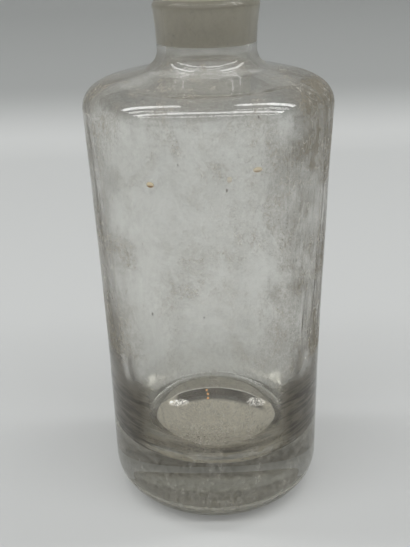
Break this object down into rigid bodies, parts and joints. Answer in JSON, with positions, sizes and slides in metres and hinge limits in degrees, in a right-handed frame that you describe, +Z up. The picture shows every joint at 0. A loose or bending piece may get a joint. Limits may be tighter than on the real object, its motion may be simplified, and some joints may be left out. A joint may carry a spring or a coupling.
{
  "type": "liquor decanter",
  "caption": "Heavy-based round glass decanter with a rounded shoulder and a short ground neck, closed by a tapered ground glass stopper that lifts out.",
  "frame": {"origin": "on the axis, in the plane of the flat ring that the base stands on", "axes": "+Z up along the axis of the vessel and its stopper; the part is turned about that axis, so X and Y are free"},
  "size_m": [0.0948, 0.0948, 0.2493],
  "materials": {
    "vessel_glass": "clear, hazed and scratched with age, ground inside the neck",
    "stopper_glass": "clear solid head, finely ground plug"
  },
  "bodies": {
    "vessel": {"decanter_body": "vessel_glass"},
    "stopper": {"ground_stopper": "stopper_glass"}
  },
  "joints": [
    {"name": "stopper_lift", "type": "slide", "parent": "vessel", "child": "stopper", "axis": [0, 0, 1], "range_m": [0, 0.06]}
  ]
}
